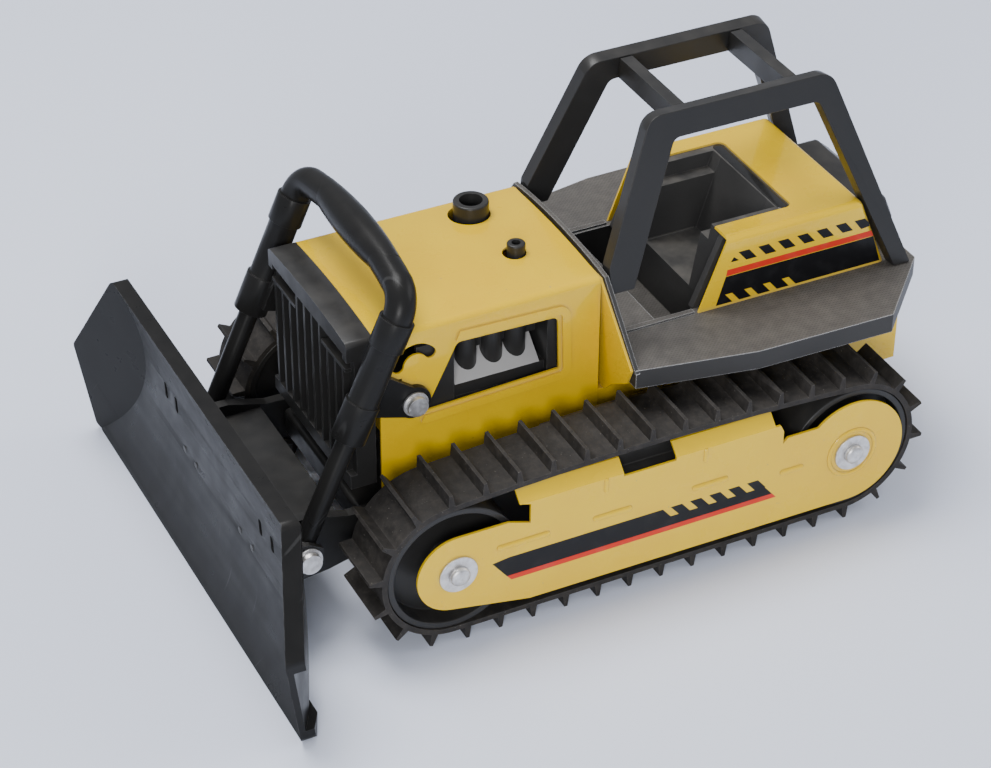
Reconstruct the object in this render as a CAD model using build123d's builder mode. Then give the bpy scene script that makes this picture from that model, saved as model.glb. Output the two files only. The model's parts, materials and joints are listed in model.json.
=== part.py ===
from build123d import *
import os
from math import cos, radians, sin, sqrt

os.makedirs("parts", exist_ok=True)

# Toy bulldozer, real size in millimetres.
# +Z is up, the blade points along -Y, and +X is the machine's left-hand side.
# The origin is on the ground, under the middle of the whole machine.

SIDES = {"left": 1, "right": -1}
bottom_up = (Align.CENTER, Align.CENTER, Align.MIN)
RUN_FIT = 0.06       # radial clearance of a turning or sliding fit
GAP = 0.1            # air between pieces that only lie beside each other

# --- running gear -----------------------------------------------------------
FRONT_AXLE_Y = -94.0
REAR_AXLE_Y = 134.0
AXLE_Z = 46.5
AXLE_R = 3.0
AXLE_END_X = 115.0
BELT_T = 3.0
BELT_OUTER_R = 39.5
CLEAT_H = AXLE_Z - BELT_OUTER_R      # the cleat tips stand on the ground
CLEAT_BASE = 3.6
CLEAT_TIP = 1.8
CLEAT_PITCH = 18.6
CLEAT_PHASE = 0.62
TRACK_IN_X = 70.0
TRACK_OUT_X = 107.3
BELT_CROWN_Z = 90.3                  # highest point of the top run
WHEEL_R = BELT_OUTER_R - BELT_T - 0.3
WHEEL_IN_X = 70.6
WHEEL_OUT_X = 106.6
PLATE_X = 109.0
PLATE_T = 1.5
INNER_PLATE_X = 62.0

# --- frame and hood ---------------------------------------------------------
FRAME_HALF = 48.7
SHEET = 1.5
HOOD_HALF = 50.0
HOOD_SHEET = 1.2
HOOD_FRONT_Y = -109.4
HOOD_REAR_Y = 15.0
HOOD_SIDE_Z = 153.0
HOOD_CROWN = 2.4
HOOD_BOTTOM_Z = 58.0
WEB_Z = 84.0
COWL_Y = 15.1                        # front face of the bulkhead, at the height of the hood's shoulder
COWL_T = 1.5
WALL_LEAN = 0.05                     # the bulkhead and the cab wall reach back as they go down

# --- cab --------------------------------------------------------------------
SHELF_Z = 115.0
SHELF_T = 2.4
SKIRT_Z = 104.0
SKIRT_T = 2.5
WELL_HALF = 45.0
WELL_FRONT_Y = 50.0
WELL_REAR_Y = 138.0
WELL_WALL = 2.0
WELL_FLOOR_Z = 86.0
TUB_WALL_Y = COWL_Y + COWL_T + 0.05
TUB_WALL_T = 2.4
COVER_HALF = 50.0
COVER_TOP_Z = 156.0
COVER_SHEET = 1.2

# --- blade and its lift -----------------------------------------------------
ROD_X = 62.5
EYE_Y = -157.0
EYE_Z = 49.0
HANDLE_TOP_Y = -100.0
HANDLE_TOP_Z = 177.0
BARREL_PIVOT_Y = -90.0
BARREL_PIVOT_Z = 112.0
ROD_R = 5.2
PIN_R = 3.0
EYE_CLEAR = 1.2                      # loose eye: the linkage is opened here
ARM_X = 50.4
ARM_T = 5.6
SCREW_X = (30.0, 46.0)               # screws between the blade and its push frame
SCREW_Z, SCREW_R = 45.0, 2.0


def box(x0, x1, y0, y1, z0, z1, mode=Mode.ADD):
    """A block between two opposite corners, added to the part being built."""
    with Locations(((x0 + x1) / 2, (y0 + y1) / 2, (z0 + z1) / 2)):
        Box(x1 - x0, y1 - y0, z1 - z0, mode=mode)


def rod_x(radius, x0, x1, y, z, mode=Mode.ADD):
    """A cylinder along X, added to the part being built."""
    with Locations(Location(((x0 + x1) / 2, y, z), (0, 90, 0))):
        Cylinder(radius, abs(x1 - x0), mode=mode)


def outline(*points):
    """A closed outline through the points, added to the sketch being built."""
    Polygon(*points, align=None)


def both_halves(points):
    """The points of the +X half, followed by their mirror images in reverse order."""
    return points + [(-x, other) for x, other in reversed(points)]


def on_circle(y, z, radius, angle):
    """The point of a circle at an angle in degrees, measured from +Y towards +Z."""
    return (y + radius * cos(radians(angle)), z + radius * sin(radians(angle)))


def save(part, name):
    """Name a finished piece and write its file."""
    part.label = name
    export_step(part, f"parts/{name}.step")


def crown(half, side_z):
    """Flat-sided section with a slightly crowned top, added to the sketch being built."""
    with BuildLine() as edge:
        ThreePointArc((-half, side_z), (0, side_z + HOOD_CROWN), (half, side_z))
        Polyline((half, side_z), (half, HOOD_BOTTOM_Z), (-half, HOOD_BOTTOM_Z), (-half, side_z))
    make_face(edge.edges())


# --- main frame: an H-shaped channel that holds both axles ------------------
FRAME_FRONT_Y, FRAME_REAR_Y = -100.0, 200.0
FRAME_LOW_Z, FRAME_TAIL_Z = 38.0, 48.0
FRAME_RISE_Y = 21.0
frame_side = [
    (FRAME_FRONT_Y, FRAME_LOW_Z), (150, FRAME_LOW_Z), (168, FRAME_TAIL_Z),
    (FRAME_REAR_Y, FRAME_TAIL_Z), (FRAME_REAR_Y, SHELF_Z - SHELF_T),
    (FRAME_RISE_Y, SHELF_Z - SHELF_T), (FRAME_RISE_Y, WEB_Z), (FRAME_FRONT_Y, WEB_Z),
]
with BuildPart() as main_frame:
    for x in (-FRAME_HALF, FRAME_HALF - SHEET):
        with BuildSketch(Plane.YZ.offset(x)):
            outline(*frame_side)
        extrude(amount=SHEET)
    box(-FRAME_HALF, FRAME_HALF, FRAME_FRONT_Y, FRAME_REAR_Y, WEB_Z - SHEET, WEB_Z)
    box(-FRAME_HALF, FRAME_HALF, FRAME_REAR_Y - SHEET, FRAME_REAR_Y, FRAME_TAIL_Z, SHELF_Z - SHELF_T)
    for y in (FRONT_AXLE_Y, REAR_AXLE_Y):
        rod_x(AXLE_R, -FRAME_HALF - 1, FRAME_HALF + 1, y, AXLE_Z, mode=Mode.SUBTRACT)
save(main_frame.part, "main_frame")

# --- front plate: closes the channel below the grille ------------------------
GRILLE_FRONT_Y, GRILLE_LOW_Z, GRILLE_TOP_Z = -124.0, 66.0, 153.6
with BuildPart() as front_plate:
    box(-47, 47, -104, FRAME_FRONT_Y, 36, WEB_Z)
    box(-47, 47, GRILLE_FRONT_Y + 4, -104, 36, 52)
    fillet(front_plate.edges().filter_by(Axis.X).group_by(Axis.Y)[0], 3)
save(front_plate.part, "front_plate")

# --- hood: one bent sheet with side windows, slots and stack holes ----------
WINDOW = [(-81.8, 103), (-8.5, 106), (-9.5, 136.5), (-64.5, 138)]
BEAD_FRONT = [(-112, 95), (-86, 95), (-62.5, 148), (-112, 148)]
BEAD_IN, BEAD_OUT, BEAD_H = 2.6, 7.2, 1.4
SLOT_R = 3.0
STACK_X, STACK_Y, STACK_R, STACK_TOP_Z = -31.5, -17.8, 9.4, 162.9
INTAKE_X, INTAKE_Y, INTAKE_R, INTAKE_TOP_Z = 12.5, -13.8, 4.8, 161.1
HOOD_NOTCH_TOP_Z = 126.0
hood_length = HOOD_REAR_Y - HOOD_FRONT_Y
with BuildPart() as hood:
    with BuildSketch(Plane.XZ.offset(-HOOD_FRONT_Y)):
        crown(HOOD_HALF, HOOD_SIDE_Z)
        fillet(vertices().group_by(Axis.Y)[-1], 3.5)
    extrude(amount=-hood_length)
    with BuildSketch(Plane.XZ.offset(-HOOD_FRONT_Y)):
        crown(HOOD_HALF - HOOD_SHEET, HOOD_SIDE_Z - HOOD_SHEET)
        fillet(vertices().group_by(Axis.Y)[-1], 2.3)
    extrude(amount=-hood_length, mode=Mode.SUBTRACT)
    # pressed bead round the top, rear and bottom of each window
    for x, rise in ((HOOD_HALF, BEAD_H), (-HOOD_HALF, -BEAD_H)):
        with BuildSketch(Plane.YZ.offset(x)):
            outline(*WINDOW)
            offset(amount=BEAD_OUT, kind=Kind.ARC)
            Polygon(*BEAD_FRONT, align=None, mode=Mode.SUBTRACT)
            with BuildSketch(mode=Mode.SUBTRACT):
                outline(*WINDOW)
                offset(amount=BEAD_IN, kind=Kind.ARC)
        extrude(amount=rise)
    with BuildSketch(Plane.YZ.offset(-HOOD_HALF - 5)):
        outline(*WINDOW)
        offset(amount=0.5, kind=Kind.INTERSECTION)
        fillet(vertices().sort_by(Axis.Y)[2:], 3.5)
        fillet(vertices().sort_by(Axis.Y)[:1], 1.2)
    extrude(amount=2 * HOOD_HALF + 10, mode=Mode.SUBTRACT)
    # curved slot above the pivot bolt, and the cut-away front edge around the bolt
    with BuildSketch(Plane.YZ.offset(-HOOD_HALF - 5)):
        with BuildLine() as slot_line:
            ThreePointArc((-97, 132.5), (-90.5, 140.6), (-79.5, 136.8))
        SlotArc(slot_line.edges()[0], 2 * SLOT_R)
    extrude(amount=2 * HOOD_HALF + 10, mode=Mode.SUBTRACT)
    box(-60, 60, HOOD_FRONT_Y - 1, -95, 112, HOOD_NOTCH_TOP_Z, mode=Mode.SUBTRACT)
    box(-60, 60, HOOD_FRONT_Y - 1, -107, HOOD_BOTTOM_Z - 1, HOOD_NOTCH_TOP_Z, mode=Mode.SUBTRACT)
    rod_x(PIN_R, -60, 60, BARREL_PIVOT_Y, BARREL_PIVOT_Z, mode=Mode.SUBTRACT)
    for x, y, radius in ((STACK_X, STACK_Y, STACK_R + 1.8), (INTAKE_X, INTAKE_Y, INTAKE_R + 1.4)):
        with Locations((x, y - 1, 150)):
            Cylinder(radius, 30, mode=Mode.SUBTRACT)
save(hood.part, "hood")

# --- grille: a moulded radiator front with upright fins ----------------------
GRILLE_HALF = 49.0
FIN_COUNT, FIN_T = 10, 2.2
SHELF_FIN_Z = 137.5
POCKET_X = (16.5, 46.0)              # a shallow pocket above the fins on each side
with BuildPart() as grille:
    with BuildSketch(Plane.XZ.offset(-HOOD_FRONT_Y)):
        crown(GRILLE_HALF, GRILLE_TOP_Z)
        fillet(vertices().group_by(Axis.Y)[-1], 3)
    extrude(amount=HOOD_FRONT_Y - GRILLE_FRONT_Y)
    box(-60, 60, -130, -100, HOOD_BOTTOM_Z - 1, GRILLE_LOW_Z, mode=Mode.SUBTRACT)
    box(-44, 44, GRILLE_FRONT_Y - 5, HOOD_FRONT_Y - 2, 75, 146, mode=Mode.SUBTRACT)
    box(-GRILLE_HALF - 1, GRILLE_HALF + 1, GRILLE_FRONT_Y - 1, GRILLE_FRONT_Y + 4, 60, 143,
        mode=Mode.SUBTRACT)
    for i in range(FIN_COUNT):
        x = -42.5 + 85.0 * i / (FIN_COUNT - 1)
        top = SHELF_FIN_Z if abs(x) > POCKET_X[0] else 147
        box(x - FIN_T / 2, x + FIN_T / 2, GRILLE_FRONT_Y + 0.5, HOOD_FRONT_Y - 1, 72, top)
    for side in SIDES.values():
        inner, outer = sorted(side * x for x in POCKET_X)
        box(inner, outer, GRILLE_FRONT_Y + 0.5, HOOD_FRONT_Y - 1, SHELF_FIN_Z - 2, SHELF_FIN_Z)
    box(-GRILLE_HALF, GRILLE_HALF, GRILLE_FRONT_Y + 0.5, GRILLE_FRONT_Y + 5, GRILLE_LOW_Z, 74)
save(grille.part, "grille")

# --- engine: black tray, silver block with sloping sides, black cylinders -----
TRAY_HALF, TRAY_LOW_Z, LEDGE_Z, TRAY_STEP_Z = 47.5, 98.0, 101.4, 108.4
TRAY_REAR_Y = -13.5
BLOCK_Y = (-63.4, -16.0)
BLOCK_HALF, BLOCK_TOP_HALF = 44.0, 30.0
ENGINE_TOP_Z, HEAD_TOP_Z = 121.0, 136.0
CYLINDER_X, CYLINDER_R = 34.0, 5.8
CYLINDER_Y = (-53.0, -38.5, -25.5)
with BuildPart() as engine_tray:
    box(-36, 36, -60, -20, WEB_Z, TRAY_LOW_Z)
    box(-TRAY_HALF, TRAY_HALF, -86, -8, TRAY_LOW_Z, LEDGE_Z)
    box(-BLOCK_HALF, BLOCK_HALF, -65.5, TRAY_REAR_Y, LEDGE_Z, TRAY_STEP_Z)
    box(-TRAY_HALF, TRAY_HALF, TRAY_REAR_Y, -8, LEDGE_Z, HEAD_TOP_Z)
    for side in SIDES.values():
        inner, outer = sorted((45 * side, TRAY_HALF * side))
        box(inner, outer, -86, -65.5, LEDGE_Z, 140)
save(engine_tray.part, "engine_tray")

block_side = [(BLOCK_HALF, TRAY_STEP_Z), (BLOCK_TOP_HALF, ENGINE_TOP_Z)]
CYLINDER_LOW_Z = 112.0
cylinder_places = [(side * CYLINDER_X, y, CYLINDER_LOW_Z) for side in SIDES.values() for y in CYLINDER_Y]
with BuildPart() as engine_block:
    with BuildSketch(Plane.XZ.offset(-BLOCK_Y[0])):
        outline(*both_halves(block_side))
    extrude(amount=BLOCK_Y[0] - BLOCK_Y[1])
    with Locations(*cylinder_places):
        Cylinder(CYLINDER_R + GAP, 30, align=bottom_up, mode=Mode.SUBTRACT)
save(engine_block.part, "engine_block")

with BuildPart() as cylinder_heads:
    box(-34, 34, -62, TRAY_REAR_Y - GAP, ENGINE_TOP_Z, HEAD_TOP_Z)
    with Locations(*cylinder_places):
        Cylinder(CYLINDER_R, HEAD_TOP_Z - CYLINDER_LOW_Z, align=bottom_up)
save(cylinder_heads.part, "cylinder_heads")

for name, x, y, radius, bore, top in (
        ("exhaust_stack", STACK_X, STACK_Y, STACK_R, 6.2, STACK_TOP_Z),
        ("intake_stack", INTAKE_X, INTAKE_Y, INTAKE_R, 2.4, INTAKE_TOP_Z)):
    with BuildPart() as stack:
        with Locations((x, y, (HEAD_TOP_Z + top) / 2)):
            Cylinder(radius, top - HEAD_TOP_Z)
        with Locations((x, y, top)):
            Cylinder(bore, 30, mode=Mode.SUBTRACT)
        fillet(stack.edges().filter_by(GeomType.CIRCLE).group_by(Axis.Z)[-1].sort_by(SortBy.RADIUS)[-1], 1)
    save(stack.part, name)

# --- cowl: bulkhead behind the hood ------------------------------------------
def leaning_plane(y):
    """Plane of the bulkhead: x across, y up its slope, through a depth at the shoulder's height."""
    return Plane(origin=(0, y, HOOD_SIDE_Z), x_dir=(1, 0, 0), z_dir=(0, -1, -WALL_LEAN))


cowl_half = [
    (HOOD_HALF, WEB_Z), (58, 92), (75, 103.5), (80, SHELF_Z - 1), (HOOD_HALF - 1.5, HOOD_SIDE_Z - 1),
]
with BuildPart() as cowl:
    with BuildSketch(leaning_plane(COWL_Y)):
        outline(*both_halves([(x, z - HOOD_SIDE_Z) for x, z in cowl_half]))
    extrude(amount=-COWL_T)
save(cowl.part, "cowl")

# --- cab tub: fenders, skirts, front wall and the seat well, one moulding ----
TUB_FRONT_Y, TUB_REAR_Y = 19.3, 203.0
fender_plan = both_halves([(81.5, TUB_FRONT_Y), (93.5, 84), (95, 163), (54, TUB_REAR_Y)])
tub_wall_half = [(82.5, SHELF_Z - 2), (HOOD_HALF + 0.6, HOOD_SIDE_Z + 0.5)]
with BuildPart() as cab_tub:
    with BuildSketch(Plane.XY.offset(SKIRT_Z)):
        outline(*fender_plan)
    extrude(amount=SHELF_Z - SKIRT_Z)
    with BuildSketch(Plane.XY.offset(SKIRT_Z)):
        outline(*fender_plan)
        offset(amount=-SKIRT_T, kind=Kind.INTERSECTION)
    extrude(amount=SHELF_Z - SHELF_T - SKIRT_Z, mode=Mode.SUBTRACT)
    box(-HOOD_HALF, HOOD_HALF, TUB_FRONT_Y - 1, FRAME_RISE_Y + 4, SKIRT_Z - 1, SHELF_Z - SHELF_T,
        mode=Mode.SUBTRACT)
    # front wall with its thin crowned rim
    with BuildSketch(leaning_plane(TUB_WALL_Y)):
        with BuildLine() as wall:
            left_low, left_top = ((x, z - HOOD_SIDE_Z) for x, z in tub_wall_half)
            rim_top = left_top[1] + HOOD_CROWN + 1.2
            ThreePointArc((-left_top[0], left_top[1]), (0, rim_top), left_top)
            Polyline(left_top, left_low, (-left_low[0], left_low[1]), (-left_top[0], left_top[1]))
        make_face(wall.edges())
    extrude(amount=-TUB_WALL_T)
    # seat well
    box(-WELL_HALF - WELL_WALL, WELL_HALF + WELL_WALL, WELL_FRONT_Y - WELL_WALL, WELL_REAR_Y + WELL_WALL,
        WEB_Z, SHELF_Z)
    box(-WELL_HALF, WELL_HALF, WELL_FRONT_Y, WELL_REAR_Y, WELL_FLOOR_Z, SHELF_Z + 1, mode=Mode.SUBTRACT)
    # low lip along the inner edge of each fender, in front of the cover
    for side in SIDES.values():
        inner, outer = sorted((46.2 * side, 49.6 * side))
        box(inner, outer, TUB_FRONT_Y + 1, 71, SHELF_Z, SHELF_Z + 1.2)
save(cab_tub.part, "cab_tub")

# --- seat: cushion, leaning back, two arms and the rim under the cover, one moulding --
CUSHION_HALF, CUSHION_Z = 24.0, 114.5
SEAT_ARM_HALF, ARM_TOP_Z = 31.7, 146.0
SEAT_FRONT_Y, CUSHION_REAR_Y, LEDGE_Y = 82.0, 114.0, 127.0
SEAT_TOP_Z = COVER_TOP_Z - COVER_SHEET - GAP
with BuildPart() as seat:
    half = WELL_HALF - GAP
    rear = WELL_REAR_Y - GAP
    with BuildSketch(Plane.YZ.offset(-half)):
        outline((SEAT_FRONT_Y, WELL_FLOOR_Z), (SEAT_FRONT_Y, CUSHION_Z), (89, SEAT_TOP_Z),
                (rear, SEAT_TOP_Z), (rear, WELL_FLOOR_Z))
    extrude(amount=2 * half)
    # thin outer flanges that follow the front edges of the cover
    for side in SIDES.values():
        with BuildSketch(Plane.YZ.offset(min(side * half, side * (half - 4)))):
            outline((SEAT_FRONT_Y + 1, 96), (72, SHELF_Z), (88.7, SEAT_TOP_Z), (92, SEAT_TOP_Z), (92, 96))
        extrude(amount=4)
    # the space between the arms, with the leaning back behind it
    with BuildSketch(Plane.YZ.offset(-CUSHION_HALF)):
        outline((60, CUSHION_Z), (CUSHION_REAR_Y, CUSHION_Z), (LEDGE_Y, SEAT_TOP_Z), (LEDGE_Y, 160),
                (60, 160))
    extrude(amount=2 * CUSHION_HALF, mode=Mode.SUBTRACT)
    # the arms are lower than the rim
    with BuildSketch(Plane.YZ.offset(-SEAT_ARM_HALF)):
        outline((60, ARM_TOP_Z), (123.5, ARM_TOP_Z), (LEDGE_Y, SEAT_TOP_Z), (LEDGE_Y, 160), (60, 160))
    extrude(amount=2 * SEAT_ARM_HALF, mode=Mode.SUBTRACT)
save(seat.part, "seat")

# --- rear cover: pressed shell around the seat --------------------------------
COVER_CUT_HALF, COVER_CUT_REAR_Y = 36.5, 134.6
COVER_TIP_Y = 88.5
cover_side = [(73, SHELF_Z), (COVER_TIP_Y, COVER_TOP_Z), (169.5, COVER_TOP_Z), (186.5, SHELF_Z)]
with BuildPart() as rear_cover:
    with BuildSketch(Plane.YZ.offset(-COVER_HALF)):
        outline(*cover_side)
    extrude(amount=2 * COVER_HALF)
    top_rails = rear_cover.edges().filter_by(Axis.Y).group_by(Axis.Z)[-1]
    fillet(top_rails, 4)
    fillet(rear_cover.edges().filter_by(Axis.X).group_by(Axis.Z)[-1].sort_by(Axis.Y)[-1], 3)
    with BuildSketch(Plane.YZ.offset(-COVER_HALF + COVER_SHEET)):
        outline((60, SHELF_Z - 5), (60, COVER_TOP_Z - COVER_SHEET), (168.7, COVER_TOP_Z - COVER_SHEET),
                (187.3, SHELF_Z - 5))
    extrude(amount=2 * (COVER_HALF - COVER_SHEET), mode=Mode.SUBTRACT)
    with BuildSketch(Plane.XY.offset(COVER_TOP_Z - 10)):
        with Locations((0, COVER_CUT_REAR_Y - 40)):
            RectangleRounded(2 * COVER_CUT_HALF, 80, 4)
    extrude(amount=20, mode=Mode.SUBTRACT)
save(rear_cover.part, "rear_cover")

# --- rear block: tank behind the cover ----------------------------------------
with BuildPart() as rear_block:
    with BuildSketch(Plane.YZ.offset(-32)):
        outline((188.5, SHELF_Z), (203, SHELF_Z), (203, 128), (198, 140), (190, 147), (176, 147))
    extrude(amount=64)
save(rear_block.part, "rear_block")

# --- roll cage: two flat hoops that lean together, and two crossbars ----------
CAGE_TOP_Z, CAGE_TOP_X, CAGE_LEAN = 229.0, 31.5, 0.19
CAGE_BAR, CAGE_T = 14.0, 8.0
FRONT_FOOT_Z = 142.0
slope_len = sqrt(1 + CAGE_LEAN ** 2)


def down(z):
    """Distance from the top of a hoop, along its leaning plane, to a height."""
    return -(CAGE_TOP_Z - z) * slope_len


foot_front_y = TUB_WALL_Y + TUB_WALL_T + 1.1
hoop_outside = [
    (foot_front_y, down(FRONT_FOOT_Z)), (foot_front_y, down(156)), (48, 0), (153, 0),
    (197.5, down(SHELF_Z)), (187.6, down(SHELF_Z)),
]
hoop_inside = [(145, -CAGE_BAR), (61, -CAGE_BAR), (33.5, down(FRONT_FOOT_Z))]
for side, sign in SIDES.items():
    plane = Plane(
        origin=(sign * CAGE_TOP_X, 0, CAGE_TOP_Z),
        x_dir=(0, 1, 0),
        z_dir=Vector(1, 0, sign * CAGE_LEAN),
    )
    with BuildPart() as hoop:
        with BuildSketch(plane):
            outline(*hoop_outside, *hoop_inside)
            corners = vertices().group_by(Axis.Y)[-1]
            fillet(corners, 10)
            fillet(vertices().filter_by(lambda v: abs(v.Y + CAGE_BAR) < 0.01), 5)
        extrude(amount=CAGE_T / 2, both=True)
        box(-80, 80, 150, 220, SHELF_Z - 10, SHELF_Z, mode=Mode.SUBTRACT)
    save(hoop.part, f"roll_hoop_{side}")

bar_top, bar_low = CAGE_TOP_Z - 1.2, CAGE_TOP_Z - 13
inner_face = CAGE_TOP_X - CAGE_T / 2 * slope_len
for name, y in (("roll_bar_front", 65.0), ("roll_bar_rear", 130.0)):
    with BuildPart() as roll_bar:
        with BuildSketch(Plane.XZ.offset(-y)):
            top_x = inner_face + CAGE_LEAN * (CAGE_TOP_Z - bar_top)
            low_x = inner_face + CAGE_LEAN * (CAGE_TOP_Z - bar_low)
            outline((-top_x, bar_top), (top_x, bar_top), (low_x, bar_low), (-low_x, bar_low))
        extrude(amount=-7)
    save(roll_bar.part, name)

# --- running gear: the wheels, plates, guides and belts of each side ----------
NECK_Z, CREASE_Z = 68.5, 77.6
FRONT_END_R, REAR_END_R = 22.0, 31.0
PLATE_LOW_Z = 16.4
FLANGE_Y = (-60.0, 91.0)
CUTOUT_Y = (-2.0, 28.0)
FLANGE_REACH = 6.2
GUIDE_Y = (-26.0, 66.0)
HUB_OUT_X = PLATE_X - 0.4
front_low = on_circle(FRONT_AXLE_Y, AXLE_Z, FRONT_END_R, -100)
rear_start_y = REAR_AXLE_Y - sqrt(REAR_END_R ** 2 - (NECK_Z - AXLE_Z) ** 2)
axle_places = {"front": FRONT_AXLE_Y, "rear": REAR_AXLE_Y}


def plate_outline():
    """Side view of a track plate, added to the sketch being built."""
    with BuildLine() as edge:
        ThreePointArc(front_low, (FRONT_AXLE_Y - FRONT_END_R, AXLE_Z), (FRONT_AXLE_Y, NECK_Z))
        Polyline(
            (FRONT_AXLE_Y, NECK_Z), (-66, NECK_Z), (-54, NECK_Z - 4), (-54, CREASE_Z - 1.5),
            (FLANGE_Y[0] + 1, CREASE_Z), (FLANGE_Y[1] - 2, CREASE_Z), (FLANGE_Y[1], CREASE_Z - 4),
            (FLANGE_Y[1], NECK_Z - 3), (FLANGE_Y[1] + 3, NECK_Z), (rear_start_y, NECK_Z),
        )
        ThreePointArc(
            (rear_start_y, NECK_Z), (REAR_AXLE_Y + REAR_END_R, AXLE_Z),
            (REAR_AXLE_Y, AXLE_Z - REAR_END_R),
        )
        Polyline((REAR_AXLE_Y, AXLE_Z - REAR_END_R), (-54, PLATE_LOW_Z), front_low)
    make_face(edge.edges())


def belt_loop():
    """Outer side of a belt, run clockwise: round both wheels and over the guide."""
    tilt = 5.5
    front_top = on_circle(FRONT_AXLE_Y, AXLE_Z, BELT_OUTER_R, 90 + tilt)
    rear_top = on_circle(REAR_AXLE_Y, AXLE_Z, BELT_OUTER_R, 90 - tilt)
    low = AXLE_Z - BELT_OUTER_R
    with BuildLine() as run:
        ThreePointArc((FRONT_AXLE_Y, low), (FRONT_AXLE_Y - BELT_OUTER_R, AXLE_Z), front_top)
        ThreePointArc(front_top, ((FRONT_AXLE_Y + REAR_AXLE_Y) / 2, BELT_CROWN_Z), rear_top)
        ThreePointArc(rear_top, (REAR_AXLE_Y + BELT_OUTER_R, AXLE_Z), (REAR_AXLE_Y, low))
        Line((REAR_AXLE_Y, low), (FRONT_AXLE_Y, low))
    return run.wires()[0]


# belt with its moulded cleats; the tips of the lower ones stand on the ground
belt_line = belt_loop()
cleat_count = round(belt_line.length / CLEAT_PITCH)
belt_width = TRACK_OUT_X - TRACK_IN_X
cleat_section = [
    (-CLEAT_BASE / 2, -0.5), (CLEAT_BASE / 2, -0.5), (CLEAT_BASE / 2, 0.6),
    (CLEAT_TIP / 2, CLEAT_H), (-CLEAT_TIP / 2, CLEAT_H), (-CLEAT_BASE / 2, 0.6),
]
with BuildPart() as track_belt_left:
    with BuildSketch(Plane.YZ.offset(TRACK_IN_X)):
        make_face(belt_line.edges())
    extrude(amount=belt_width)
    with BuildSketch(Plane.YZ.offset(TRACK_IN_X)):
        make_face(belt_line.edges())
        offset(amount=-BELT_T, mode=Mode.REPLACE)
    extrude(amount=belt_width, mode=Mode.SUBTRACT)
    for i in range(cleat_count):
        place = (i + CLEAT_PHASE) / cleat_count
        spot, along = belt_line.position_at(place), belt_line.tangent_at(place)
        root = Plane(origin=(TRACK_IN_X, spot.X, spot.Y), x_dir=(0, along.X, along.Y), z_dir=(1, 0, 0))
        with BuildSketch(root):
            outline(*cleat_section)
        extrude(amount=belt_width)

with BuildPart() as track_plate_left:
    with BuildSketch(Plane.YZ.offset(PLATE_X)):
        plate_outline()
    extrude(amount=PLATE_T)
    # bent-in top flange with a notch in the middle
    for y0, y1 in ((FLANGE_Y[0], CUTOUT_Y[0]), (CUTOUT_Y[1], FLANGE_Y[1] - 5)):
        with BuildSketch(Plane.XZ.offset(-y0)):
            outline(
                (PLATE_X, CREASE_Z), (PLATE_X + PLATE_T, CREASE_Z),
                (PLATE_X + PLATE_T - FLANGE_REACH, CREASE_Z + FLANGE_REACH),
                (PLATE_X - FLANGE_REACH, CREASE_Z + FLANGE_REACH),
            )
        extrude(amount=y0 - y1)
    box(PLATE_X - 1, PLATE_X + 3, *CUTOUT_Y, CREASE_Z - 1.8, CREASE_Z + 1, mode=Mode.SUBTRACT)
    for y in axle_places.values():
        rod_x(AXLE_R, PLATE_X - 1, PLATE_X + 5, y, AXLE_Z, mode=Mode.SUBTRACT)

with BuildPart() as track_plate_inner_left:
    with BuildSketch(Plane.YZ.offset(INNER_PLATE_X)):
        plate_outline()
    extrude(amount=PLATE_T)
    for y in axle_places.values():
        rod_x(AXLE_R, INNER_PLATE_X - 1, INNER_PLATE_X + 5, y, AXLE_Z, mode=Mode.SUBTRACT)

# moulded guide between the plates: the top run of the belt slides over it
with BuildPart() as track_guide_left:
    guide_in, guide_out = INNER_PLATE_X + PLATE_T, PLATE_X
    crown_z = BELT_CROWN_Z - BELT_T - 0.5
    with BuildSketch(Plane.YZ.offset(guide_in)):
        with BuildLine() as edge:
            middle = sum(GUIDE_Y) / 2
            ThreePointArc((GUIDE_Y[0], crown_z - 1.4), (middle, crown_z), (GUIDE_Y[1], crown_z - 1.4))
            Polyline((GUIDE_Y[1], crown_z - 1.4), (GUIDE_Y[1], 58), (GUIDE_Y[0], 58),
                     (GUIDE_Y[0], crown_z - 1.4))
        make_face(edge.edges())
    extrude(amount=guide_out - guide_in)
    box(PLATE_X - FLANGE_REACH - 2, PLATE_X + 1, -40, 80, CREASE_Z - 3, 95, mode=Mode.SUBTRACT)
    box(guide_in + 3, guide_out - 11, GUIDE_Y[0] + 3, GUIDE_Y[1] - 3, 57, 74, mode=Mode.SUBTRACT)

left_pieces = {
    "track_belt": track_belt_left,
    "track_plate": track_plate_left,
    "track_plate_inner": track_plate_inner_left,
    "track_guide": track_guide_left,
}
for place, y in axle_places.items():
    with BuildPart() as wheel:
        rod_x(WHEEL_R, WHEEL_IN_X, WHEEL_OUT_X, y, AXLE_Z)
        for face_x, sign in ((WHEEL_OUT_X, 1), (WHEEL_IN_X, -1)):
            rod_x(WHEEL_R - 3.5, face_x - 12 * sign, face_x + sign, y, AXLE_Z, mode=Mode.SUBTRACT)
        rod_x(9, WHEEL_IN_X - 2, HUB_OUT_X, y, AXLE_Z)
        rod_x(AXLE_R + RUN_FIT, WHEEL_IN_X - 5, HUB_OUT_X + 5, y, AXLE_Z, mode=Mode.SUBTRACT)
    left_pieces[f"{place}_wheel"] = wheel

for name, piece in left_pieces.items():
    save(piece.part, f"{name}_left")
    with BuildPart() as other:
        mirror(piece.part, about=Plane.YZ)
    save(other.part, f"{name}_right")

for place, y in axle_places.items():
    with BuildPart() as axle:
        rod_x(AXLE_R, -AXLE_END_X, AXLE_END_X, y, AXLE_Z)
    save(axle.part, f"{place}_axle")

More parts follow.
